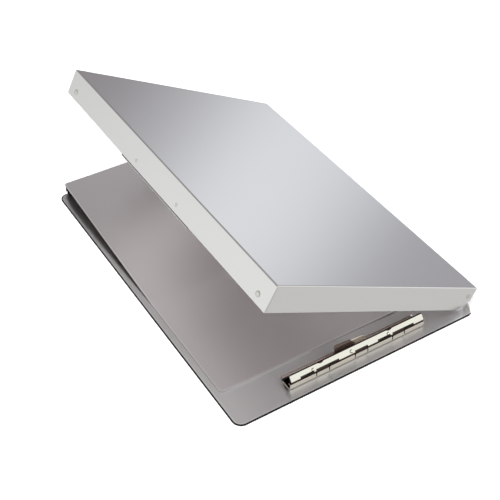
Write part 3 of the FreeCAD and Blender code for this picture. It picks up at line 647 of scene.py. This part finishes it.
pressed_grain = (2000, 2000, 2000)
rivet_metal = metal_material("rivet_metal", (0.80, 0.79, 0.78), 0.16, pressed_grain)
rivet_head = (0.0025, 0.0009)
outward = Vector((1, 0, 0))
lid_outward = (open_lid @ outward).normalized()
rivet_row("spine_base_rivets", "base", rivet_metal, lambda points: outward, rivet_head, 0.0018)
rivet_row("spine_lid_rivets", "lid", rivet_metal, lambda points: lid_outward, rivet_head,
          0.0016)

# Writing plate: a flat satin sheet that slopes up to the far end, with two rounded corners.
# Its edges carry a thin painted highlight, and its far edge is welded to the moving leaf.
plate_corner, rim_shift, plate_radius = (-0.11435, -0.1317), (0.0012, 0.0007), 0.0055
plate_metal = metal_material("writing_plate_sheet", (0.865, 0.828, 0.832), 0.30, satin_grain,
                             0.004, smear=0.5)
# A painted highlight line along the plate's rim.
paint_rim_light_and_shade(plate_metal, [at - shift for at, shift in zip(plate_corner, rim_shift)],
          (beyond, beyond), plate_radius, None, (0.98, 0.96, 0.96))
eased_copy("writing_plate", "form_rest", [plate_metal], 0.00006)

# Clip bracket: bright nickel-plated steel, folded to a foot that is riveted to the base plate
# and a low front wall whose top is bent over. Three tongues of the wall are rolled round the
# pin. Its inside, knuckle tops and slit sides carry a near-black painted shade.
plating_grain = (900, 900, 900)
nickel = metal_material("nickel_plate", (0.93, 0.87, 0.76), 0.10, plating_grain, 0.01)
# A near-black colour that is painted shade in the clip's hollows, gaps and windows.
painted_shade_nickel = metal_material("painted_shade_inside", (0.07, 0.045, 0.04), 0.35, plating_grain, 0.05)


def paint_bracket_shade(form):
    """Painted shade: the inside, the knuckles' tops and the sides of the slits take the
    near-black colour, the ends don't.
    """
    left_end, right_end, wall_back = -0.0644, 0.0742, -0.15755
    knuckle_foot, knuckle_front = 0.0070, -0.1545
    for face in form.faces:
        face.normal_update()
        middle = face.calc_center_median()
        sideways = abs(face.normal.x) > 0.7
        end = sideways and (middle.x < left_end or middle.x > right_end)
        knuckle_top = middle.z > knuckle_foot and middle.y < knuckle_front
        inside = middle.y > wall_back and not end
        if inside or knuckle_top or (sideways and not end):
            face.material_index = 1


def paint_jaw_shade(form):
    """The front slope keeps the bright plating; the back slope and lip get a darker, pinker
    painted shade, the rest a near-black painted shade.
    """
    left_end, right_end, end_back = -0.0635, 0.0733, -0.1535
    slope_foot, lip_front = 0.0098, -0.1446
    for face in form.faces:
        face.normal_update()
        middle = face.calc_center_median()
        front = face.normal.y < -0.6 and face.normal.z > 0.2 and middle.z > slope_foot
        back = face.normal.y > 0.5 and face.normal.z > 0.3
        end = abs(face.normal.x) > 0.7 and (middle.x < left_end or middle.x > right_end)
        if back or middle.y > lip_front:
            face.material_index = 2
        elif not front and not (end and middle.y < end_back):
            face.material_index = 1


eased_copy("clip_bracket", "base", [nickel, painted_shade_nickel], 0.0001,
           paint_bracket_shade)
# Oiled steel, coloured near black partly as painted shade inside the knuckles and windows.
clip_pin_metal = metal_material("oiled_and_shaded_wire", (0.10, 0.08, 0.07), 0.3, drawn_grain)
dress("clip_pin", clip_pin_metal)
low_head, flush_tail = (0.0025, 0.0006), (0.00148, 0.00005)
rivet_row("clip_rivets", "base", rivet_metal, lambda points: Vector((0, 0, 1)), low_head,
          0.00172, flush_tail)

# Clip jaw: the same plated steel, folded to a ridge and turned up at its lip, with windows
# over the knuckles and springs, and a bent thumb tab welded on its back.
# A darker, pinker colour that is painted shade and reflection on the jaw's back slope and lip.
back_shade_nickel = metal_material("clip_back_painted_shade", (0.80, 0.72, 0.67), 0.2, plating_grain, 0.05)
eased_copy("clip_jaw", "jaw", [nickel, painted_shade_nickel, back_shade_nickel], 0.0001,
           paint_jaw_shade)


def paint_highlight(material, way, low, high, colour):
    """Paint a highlight colour onto a metal between two places along a direction."""
    nodes, links = material.node_tree.nodes, material.node_tree.links
    metal = next(node for node in nodes if node.type == "BSDF_PRINCIPLED")
    where = next(node for node in nodes if node.type == "TEX_COORD").outputs["Object"]
    along = nodes.new("ShaderNodeVectorMath")
    along.operation = "DOT_PRODUCT"
    along.inputs[1].default_value = way
    links.new(where, along.inputs[0])
    highlight_share = nodes.new("ShaderNodeMapRange")
    highlight_share.inputs["From Min"].default_value = low
    highlight_share.inputs["From Max"].default_value = high
    links.new(along.outputs["Value"], highlight_share.inputs["Value"])
    finish = nodes.new("ShaderNodeMix")
    finish.data_type = "RGBA"
    finish.inputs["B"].default_value = (*colour, 1)
    links.new(highlight_share.outputs[0], finish.inputs["Factor"])
    links.new(metal.inputs["Base Color"].links[0].from_socket, finish.inputs["A"])
    links.new(finish.outputs["Result"], metal.inputs["Base Color"])


# The tab is near black as painted shade on its shadowed face, with a painted highlight on its
# end.
tab_metal = metal_material("tab_plate", (0.22, 0.17, 0.15), 0.12, plating_grain, 0.05)
tab_way, highlight_from, highlight_to = (1.0, 0.0, 0.9), 0.0150, 0.0165
paint_highlight(tab_metal, tab_way, highlight_from, highlight_to, (0.93, 0.87, 0.76))
eased_copy("clip_thumb_tab", "jaw", [tab_metal], 0.0001)

# Clip springs: oiled steel wire, near black partly as painted shade in the jaw's windows, wound
# closely round the pin on both sides of a knuckle. They turn with the jaw, which their ends
# press down.
spring_metal = metal_material("spring_wire", (0.05, 0.045, 0.04), 0.4, plating_grain, 0.03)


def drawn_wire(path, sides):
    """Round wire along a path in the tree being built, its ends closed."""
    section = nodes.new("GeometryNodeCurvePrimitiveCircle")
    section.inputs["Resolution"].default_value = sides
    links.new(start.outputs["Wire Radius"], section.inputs["Radius"])
    drawn = nodes.new("GeometryNodeCurveToMesh")
    drawn.inputs["Fill Caps"].default_value = True
    links.new(path, drawn.inputs["Curve"])
    links.new(section.outputs[0], drawn.inputs["Profile Curve"])
    return drawn.outputs[0]


coil_tree, nodes, links, start, end = new_tree("spring_coils", (
    ("Turns", "Float"), ("Coil Radius", "Float"), ("Wire Radius", "Float"),
    ("Length", "Float"), ("Material", "Material")))
coil = nodes.new("GeometryNodeCurveSpiral")
coil.inputs["Resolution"].default_value = 24
for label, source in (("Rotations", "Turns"), ("Start Radius", "Coil Radius"),
                      ("End Radius", "Coil Radius"), ("Height", "Length")):
    links.new(start.outputs[source], coil.inputs[label])
centred = nodes.new("ShaderNodeCombineXYZ")
links.new(set_number("MULTIPLY", start.outputs["Length"], -0.5), centred.inputs["X"])
laid = nodes.new("GeometryNodeTransform")
laid.inputs["Rotation"].default_value = (0, math.radians(90), 0)
links.new(drawn_wire(coil.outputs[0], 10), laid.inputs["Geometry"])
links.new(centred.outputs[0], laid.inputs["Translation"])
wound = nodes.new("GeometryNodeInstanceOnPoints")
links.new(start.outputs["Geometry"], wound.inputs["Points"])
links.new(laid.outputs[0], wound.inputs["Instance"])
finish_tree(nodes, links, start, end, wound.outputs[0])
for node in ("clip_spring_left", "clip_spring_right"):
    middles = [sum(points, Vector()) / len(points) for points in loose_parts(node)]
    obj = marked_places(node + "_coils", middles)
    with_tree(obj, coil_tree, obj.name, Turns=7.5, Coil_Radius=0.001175, Wire_Radius=0.00032,
              Length=0.0053, Material=spring_metal)
    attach(obj, "jaw")
    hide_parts(node)

# Spring hooks: the bent ends of the same wire, coming through the jaw's front slope beside
# the knuckles and curled flat against it.
hook_tree, nodes, links, start, end = new_tree("spring_hooks", (
    ("Curl Radius", "Float"), ("Wire Radius", "Float"), ("Lean", "Vector"),
    ("Material", "Material")))
curl_from, curl_through = math.radians(50), math.radians(255)
curl = nodes.new("GeometryNodeCurveArc")
curl.inputs["Resolution"].default_value = 20
curl.inputs["Start Angle"].default_value = curl_from
curl.inputs["Sweep Angle"].default_value = curl_through
links.new(start.outputs["Curl Radius"], curl.inputs["Radius"])
leant = nodes.new("GeometryNodeTransform")
links.new(drawn_wire(curl.outputs[0], 8), leant.inputs["Geometry"])
links.new(start.outputs["Lean"], leant.inputs["Rotation"])
spread = nodes.new("GeometryNodeInstanceOnPoints")
links.new(start.outputs["Geometry"], spread.inputs["Points"])
links.new(leant.outputs[0], spread.inputs["Instance"])
finish_tree(nodes, links, start, end, spread.outputs[0])
hook_y, hook_height, slope_lean = -0.15645, 0.01138, math.radians(47.6)
hooks = marked_places("clip_spring_hooks", [
    (x, hook_y, hook_height) for x in (-0.04155, -0.00295, 0.03595)])
with_tree(hooks, hook_tree, hooks.name, Curl_Radius=0.00125, Wire_Radius=0.0003,
          Lean=(slope_lean, 0, 0), Material=spring_metal)
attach(hooks, "jaw")

# Lid: a pan folded from one bright sheet, its walls turned down on all four sides and its
# corner tabs riveted behind the long walls.
lid_metal = metal_material("lid_sheet", (0.86, 0.86, 0.865), 0.22, satin_grain)
eased_copy("lid_pan", "lid", [lid_metal])
corner_metal = metal_material("corner_rivet_metal", (0.74, 0.73, 0.70), 0.16, pressed_grain)
free_way, near_way, far_way = [(open_lid @ Vector(way)).normalized()
                               for way in ((-1, 0, 0), (0, -1, 0), (0, 1, 0))]


def corner_way(points):
    """Rivets near the free edge face out of the free wall, the others out of the end walls."""
    middle = sum(points, Vector()) / len(points)
    if middle.x < 0:
        return free_way
    return near_way if middle.y < 0 else far_way


rivet_row("lid_corner_rivets", "lid", corner_metal, corner_way, rivet_head, 0.0018)

# Latch strip: a hemmed aluminium strip held inside the lid's free wall by two small rivets,
# a little proud of the wall's rim. Its near-black colour is painted shade of the gap, with a
# painted highlight along its hem.
strip_metal = metal_material("latch_strip_sheet", (0.10, 0.09, 0.09), 0.26, satin_grain)
rim_way = (open_lid @ Vector((0, 0, -1))).normalized()
rim = max(rim_way.dot(vert.co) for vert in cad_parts["latch_strip"].data.vertices)
hem_highlight_from, hem_highlight_to = rim - 0.0009, rim - 0.0007
# Painted highlight along the hem.
paint_highlight(strip_metal, rim_way, hem_highlight_from, hem_highlight_to, (1.0, 0.97, 0.95))
eased_copy("latch_strip", "lid", [strip_metal])
flat_head = (0.0016, 0.00025)
rivet_row("latch_rivets", "lid", corner_metal, lambda points: free_way, flat_head, 0.0016)
